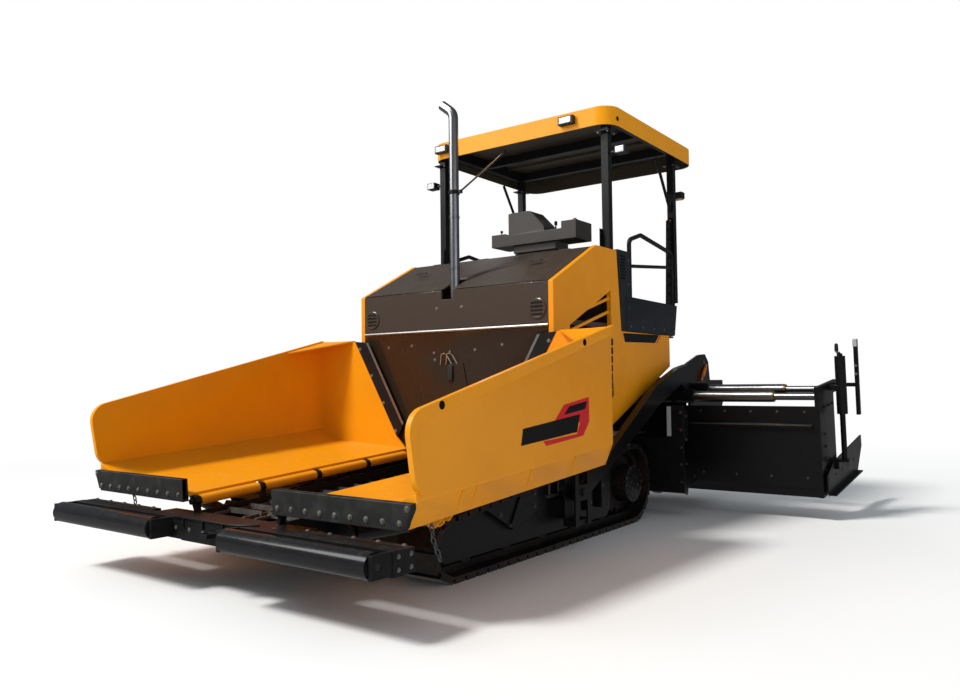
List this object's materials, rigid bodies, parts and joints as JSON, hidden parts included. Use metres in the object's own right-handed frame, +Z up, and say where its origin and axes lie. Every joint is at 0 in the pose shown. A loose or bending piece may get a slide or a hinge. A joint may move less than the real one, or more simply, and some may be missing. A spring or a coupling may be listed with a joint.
{
  "type": "tracked asphalt paver",
  "caption": "Tracked asphalt paver with folding hopper wings, slat conveyors, augers, canopy and a floating screed with sliding extensions and end gates",
  "frame": {"origin": "on the ground, at the middle of the machine's box", "axes": "X to the machine's left side, Y to its rear, Z up; the hopper is at the front, -Y"},
  "size_m": [4.84, 5.685, 3.4059],
  "materials": {
    "bare_steel": "worn",
    "body_paint": "gloss",
    "canopy": "gloss",
    "chrome_rod": "polished",
    "console": "satin",
    "dark_frame": "satin",
    "dark_panel": "satin",
    "engine": "matte",
    "exhaust": "worn",
    "hood_paint": "gloss",
    "lamp": "satin",
    "roller_steel": "gloss",
    "rubber": "matte",
    "screed_paint": "satin",
    "seat": "matte",
    "track_steel": "worn"
  },
  "bodies": {
    "machine": {"auger_frame": "dark_frame", "canopy_frame": "dark_frame", "canopy_roof": "canopy", "chassis_frame": "dark_frame", "console": "console", "engine_block": "engine", "exhaust_stack": "exhaust", "handrails": "dark_frame", "hood_front": "hood_paint", "hood_hinge": "dark_frame", "hopper_back_wall": "hood_paint", "platform": "dark_panel", "push_beam": "dark_frame", "rear_body": "dark_panel", "seat_backs": "seat", "seat_cushions": "seat", "seat_frames": "dark_frame", "side_panel_left": "body_paint", "side_panel_right": "body_paint", "slat_conveyors": "bare_steel", "track_frame_left": "dark_frame", "track_frame_right": "dark_frame", "track_left": "track_steel", "track_right": "track_steel", "track_wheels_left": "track_steel", "track_wheels_right": "track_steel", "work_lamps": "lamp"},
    "hood_lid": {"hood_lid": "hood_paint"},
    "screed": {"tow_arms": "screed_paint", "screed_frame": "screed_paint"},
    "wing_left": {"hopper_wing_left": "body_paint", "wing_flashing_left": "rubber"},
    "wing_barrel_left": {"wing_barrel_left": "dark_frame"},
    "wing_rod_left": {"wing_rod_left": "chrome_rod"},
    "push_roller_left": {"push_roller_left": "roller_steel"},
    "auger_left": {"auger_left": "bare_steel"},
    "extension_left": {"screed_extension_left": "screed_paint"},
    "end_gate_left": {"end_gate_left": "screed_paint"},
    "lift_barrel_left": {"lift_barrel_left": "dark_frame"},
    "lift_rod_left": {"lift_rod_left": "chrome_rod"},
    "wing_right": {"hopper_wing_right": "body_paint", "wing_flashing_right": "rubber"},
    "wing_barrel_right": {"wing_barrel_right": "dark_frame"},
    "wing_rod_right": {"wing_rod_right": "chrome_rod"},
    "push_roller_right": {"push_roller_right": "roller_steel"},
    "auger_right": {"auger_right": "bare_steel"},
    "extension_right": {"screed_extension_right": "screed_paint"},
    "end_gate_right": {"end_gate_right": "screed_paint"},
    "lift_barrel_right": {"lift_barrel_right": "dark_frame"},
    "lift_rod_right": {"lift_rod_right": "chrome_rod"}
  },
  "joints": [
    {"name": "hood_open", "type": "hinge", "parent": "machine", "child": "hood_lid", "pos_m": [0, 0.163, 2.192], "axis": [-1, 0, 0], "range_deg": [0, 60]},
    {"name": "wing_fold_left", "type": "hinge", "parent": "machine", "child": "wing_left", "pos_m": [0.393, -2.508, 0.461], "axis": [0, -0.9979, -0.064], "range_deg": [0, 45]},
    {"name": "wing_barrel_turn_left", "type": "hinge", "parent": "machine", "child": "wing_barrel_left", "pos_m": [0.56, -2.07583, 0.30033], "axis": [0, -0.9979, -0.064], "range_deg": [0, 46.55]},
    {"name": "wing_rod_slide_left", "type": "slide", "parent": "wing_barrel_left", "child": "wing_rod_left", "axis": [0.9748, -0.0143, 0.2226], "range_m": [0, 0.1918]},
    {"name": "push_roller_spin_left", "type": "hinge", "parent": "machine", "child": "push_roller_left", "pos_m": [0.85, -2.78, 0.356], "axis": [1, 0, 0], "continuous": true},
    {"name": "auger_spin_left", "type": "hinge", "parent": "machine", "child": "auger_left", "pos_m": [0.65, 1.275, 0.33], "axis": [1, 0, 0], "continuous": true},
    {"name": "wing_fold_right", "type": "hinge", "parent": "machine", "child": "wing_right", "pos_m": [-0.393, -2.508, 0.461], "axis": [0, 0.9979, 0.064], "range_deg": [0, 45]},
    {"name": "wing_barrel_turn_right", "type": "hinge", "parent": "machine", "child": "wing_barrel_right", "pos_m": [-0.56, -2.07583, 0.30033], "axis": [0, 0.9979, 0.064], "range_deg": [0, 46.55]},
    {"name": "wing_rod_slide_right", "type": "slide", "parent": "wing_barrel_right", "child": "wing_rod_right", "axis": [-0.9748, -0.0143, 0.2226], "range_m": [0, 0.1918]},
    {"name": "push_roller_spin_right", "type": "hinge", "parent": "machine", "child": "push_roller_right", "pos_m": [-0.85, -2.78, 0.356], "axis": [1, 0, 0], "continuous": true},
    {"name": "auger_spin_right", "type": "hinge", "parent": "machine", "child": "auger_right", "pos_m": [-0.65, 1.275, 0.33], "axis": [1, 0, 0], "continuous": true},
    {"name": "screed_lift", "type": "hinge", "parent": "machine", "child": "screed", "pos_m": [0, -0.4, 0.378], "axis": [1, 0, 0], "range_deg": [-5.6, 0]},
    {"name": "lift_barrel_turn_left", "type": "hinge", "parent": "machine", "child": "lift_barrel_left", "pos_m": [0.7, 1.572, 1.49], "axis": [1, 0, 0], "range_deg": [0, 6.88]},
    {"name": "lift_rod_slide_left", "type": "slide", "parent": "lift_barrel_left", "child": "lift_rod_left", "axis": [0, -0.0171, -0.9999], "range_m": [0, 0.1985]},
    {"name": "extension_slide_left", "type": "slide", "parent": "screed", "child": "extension_left", "axis": [1, 0, 0], "range_m": [-1, 0]},
    {"name": "end_gate_slide_left", "type": "slide", "parent": "extension_left", "child": "end_gate_left", "axis": [0, -0.0985, 0.9951], "range_m": [0, 0.1]},
    {"name": "lift_barrel_turn_right", "type": "hinge", "parent": "machine", "child": "lift_barrel_right", "pos_m": [-0.7, 1.572, 1.49], "axis": [1, 0, 0], "range_deg": [0, 6.88]},
    {"name": "lift_rod_slide_right", "type": "slide", "parent": "lift_barrel_right", "child": "lift_rod_right", "axis": [0, -0.0171, -0.9999], "range_m": [0, 0.1985]},
    {"name": "extension_slide_right", "type": "slide", "parent": "screed", "child": "extension_right", "axis": [-1, 0, 0], "range_m": [-1, 0]},
    {"name": "end_gate_slide_right", "type": "slide", "parent": "extension_right", "child": "end_gate_right", "axis": [0, -0.0985, 0.9951], "range_m": [0, 0.1]}
  ],
  "couplings": [
    {"joint": "wing_barrel_turn_left", "follows": "wing_fold_left", "ratio": 1.0334},
    {"joint": "wing_rod_slide_left", "follows": "wing_fold_left", "m_per_rad": 0.24395},
    {"joint": "wing_barrel_turn_right", "follows": "wing_fold_right", "ratio": 1.0334},
    {"joint": "wing_rod_slide_right", "follows": "wing_fold_right", "m_per_rad": 0.24395},
    {"joint": "lift_barrel_turn_left", "follows": "screed_lift", "ratio": -1.2255},
    {"joint": "lift_rod_slide_left", "follows": "screed_lift", "m_per_rad": -2.0289},
    {"joint": "lift_barrel_turn_right", "follows": "screed_lift", "ratio": -1.2255},
    {"joint": "lift_rod_slide_right", "follows": "screed_lift", "m_per_rad": -2.0289}
  ]
}
